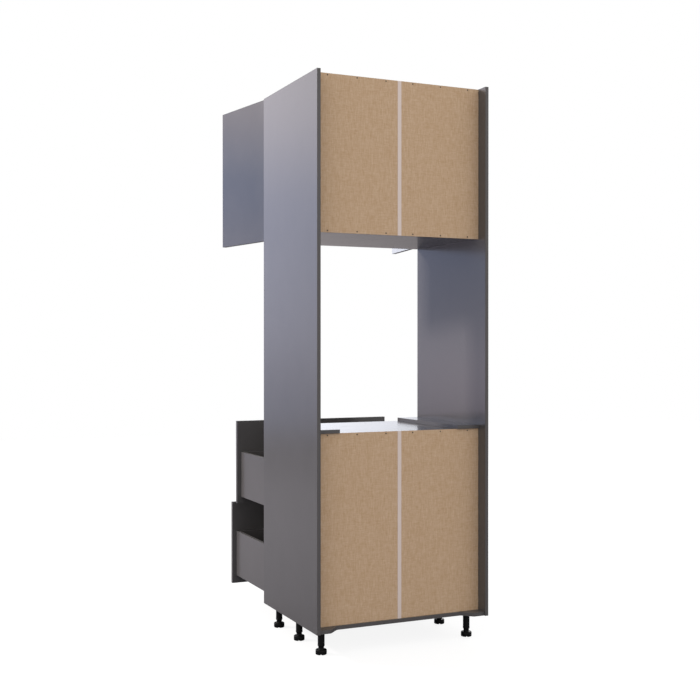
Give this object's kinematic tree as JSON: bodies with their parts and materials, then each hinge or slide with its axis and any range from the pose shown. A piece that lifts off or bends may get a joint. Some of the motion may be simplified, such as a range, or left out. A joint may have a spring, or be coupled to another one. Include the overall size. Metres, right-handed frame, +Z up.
{
  "type": "tall oven housing unit",
  "caption": "Tall kitchen unit on black legs: open oven niche between a cupboard with a pair of doors above and two deep drawers below.",
  "frame": {"origin": "middle of the floor under the whole object as it stands open, on the plane of symmetry", "axes": "+Z up; the doors and drawer fronts face -Y; +X is the right-hand side for a person behind the unit"},
  "size_m": [0.8878, 1.04, 2.2665],
  "materials": {
    "melamine_board": "blue-grey melamine face, satin",
    "drawer_board": "grey foil-wrapped board, satin",
    "hardboard": "bare brown hardboard, matt",
    "joiner_plastic": "pale beige, matt",
    "black_plastic": "black, fine satin",
    "zinc_rail": "zinc-plated sheet steel",
    "nickel_hinge": "nickel-plated pressed steel",
    "zinc_fastener": "zinc-plated steel",
    "beech": "fluted beech dowel, bare"
  },
  "bodies": {
    "carcass": {"back_panel_nails": "zinc_fastener", "base_panel": "melamine_board", "cam_bolts": "zinc_fastener", "cam_locks": "zinc_fastener", "carcass_dowels": "beech", "cupboard_floor": "melamine_board", "cupboard_shelf": "melamine_board", "hardware_screws": "zinc_fastener", "hinge_arms": "nickel_hinge", "hinge_plates": "nickel_hinge", "left_batten": "melamine_board", "left_side_panel": "melamine_board", "leg_screws": "zinc_fastener", "leg_sockets": "black_plastic", "leg_tubes": "black_plastic", "lower_back_joiner": "joiner_plastic", "lower_back_left": "hardboard", "lower_back_right": "hardboard", "lower_cabinet_rails": "zinc_rail", "oven_deck": "melamine_board", "right_batten": "melamine_board", "right_side_panel": "melamine_board", "shelf_pins": "zinc_fastener", "top_panel": "melamine_board", "upper_back_joiner": "joiner_plastic", "upper_back_left": "hardboard", "upper_back_right": "hardboard", "upper_cabinet_rails": "zinc_rail"},
    "right_door_leaf": {"right_door": "melamine_board", "right_hinge_cups": "nickel_hinge", "right_hinge_pins": "nickel_hinge", "right_cup_screws": "zinc_fastener"},
    "left_door_leaf": {"left_door": "melamine_board", "left_hinge_cups": "nickel_hinge", "left_hinge_pins": "nickel_hinge", "left_cup_screws": "zinc_fastener"},
    "upper_drawer": {"upper_drawer_back": "drawer_board", "upper_drawer_bottom": "drawer_board", "upper_drawer_front": "melamine_board", "upper_drawer_front_screws": "zinc_fastener", "upper_drawer_inner_front": "drawer_board", "upper_drawer_left_side": "drawer_board", "upper_drawer_rails": "zinc_rail", "upper_drawer_right_side": "drawer_board"},
    "lower_drawer": {"lower_drawer_back": "drawer_board", "lower_drawer_bottom": "drawer_board", "lower_drawer_front": "melamine_board", "lower_drawer_front_screws": "zinc_fastener", "lower_drawer_inner_front": "drawer_board", "lower_drawer_left_side": "drawer_board", "lower_drawer_rails": "zinc_rail", "lower_drawer_right_side": "drawer_board"},
    "upper_middle_slides": {"upper_middle_rails": "zinc_rail"},
    "lower_middle_slides": {"lower_middle_rails": "zinc_rail"},
    "right_levelling_foot_1": {"right_foot_1": "black_plastic"},
    "right_levelling_foot_2": {"right_foot_2": "black_plastic"},
    "right_levelling_foot_3": {"right_foot_3": "black_plastic"},
    "left_levelling_foot_1": {"left_foot_1": "black_plastic"},
    "left_levelling_foot_2": {"left_foot_2": "black_plastic"},
    "left_levelling_foot_3": {"left_foot_3": "black_plastic"}
  },
  "joints": [
    {"name": "right_door_hinge", "type": "hinge", "parent": "carcass", "child": "right_door_leaf", "pos_m": [0.3717, -0.0845, 1.96], "axis": [0, 0, 1], "range_deg": [-100, 5]},
    {"name": "left_door_hinge", "type": "hinge", "parent": "carcass", "child": "left_door_leaf", "pos_m": [-0.3717, -0.0845, 1.96], "axis": [0, 0, -1], "range_deg": [-100, 5]},
    {"name": "upper_drawer_slide", "type": "slide", "parent": "carcass", "child": "upper_drawer", "axis": [0, -1, 0], "range_m": [-0.3605, 0.1395]},
    {"name": "lower_drawer_slide", "type": "slide", "parent": "carcass", "child": "lower_drawer", "axis": [0, -1, 0], "range_m": [-0.4275, 0.0725]},
    {"name": "upper_middle_slide", "type": "slide", "parent": "carcass", "child": "upper_middle_slides", "axis": [0, -1, 0], "range_m": [-0.1803, 0.0698]},
    {"name": "lower_middle_slide", "type": "slide", "parent": "carcass", "child": "lower_middle_slides", "axis": [0, -1, 0], "range_m": [-0.2138, 0.0363]},
    {"name": "right_foot_1_travel", "type": "slide", "parent": "carcass", "child": "right_levelling_foot_1", "axis": [0, 0, 1], "range_m": [-0.015, 0]},
    {"name": "right_foot_2_travel", "type": "slide", "parent": "carcass", "child": "right_levelling_foot_2", "axis": [0, 0, 1], "range_m": [-0.015, 0]},
    {"name": "right_foot_3_travel", "type": "slide", "parent": "carcass", "child": "right_levelling_foot_3", "axis": [0, 0, 1], "range_m": [-0.015, 0]},
    {"name": "left_foot_1_travel", "type": "slide", "parent": "carcass", "child": "left_levelling_foot_1", "axis": [0, 0, 1], "range_m": [-0.015, 0]},
    {"name": "left_foot_2_travel", "type": "slide", "parent": "carcass", "child": "left_levelling_foot_2", "axis": [0, 0, 1], "range_m": [-0.015, 0]},
    {"name": "left_foot_3_travel", "type": "slide", "parent": "carcass", "child": "left_levelling_foot_3", "axis": [0, 0, 1], "range_m": [-0.015, 0]}
  ],
  "couplings": [
    {"joint": "upper_middle_slide", "follows": "upper_drawer_slide", "ratio": 0.5},
    {"joint": "lower_middle_slide", "follows": "lower_drawer_slide", "ratio": 0.5}
  ]
}
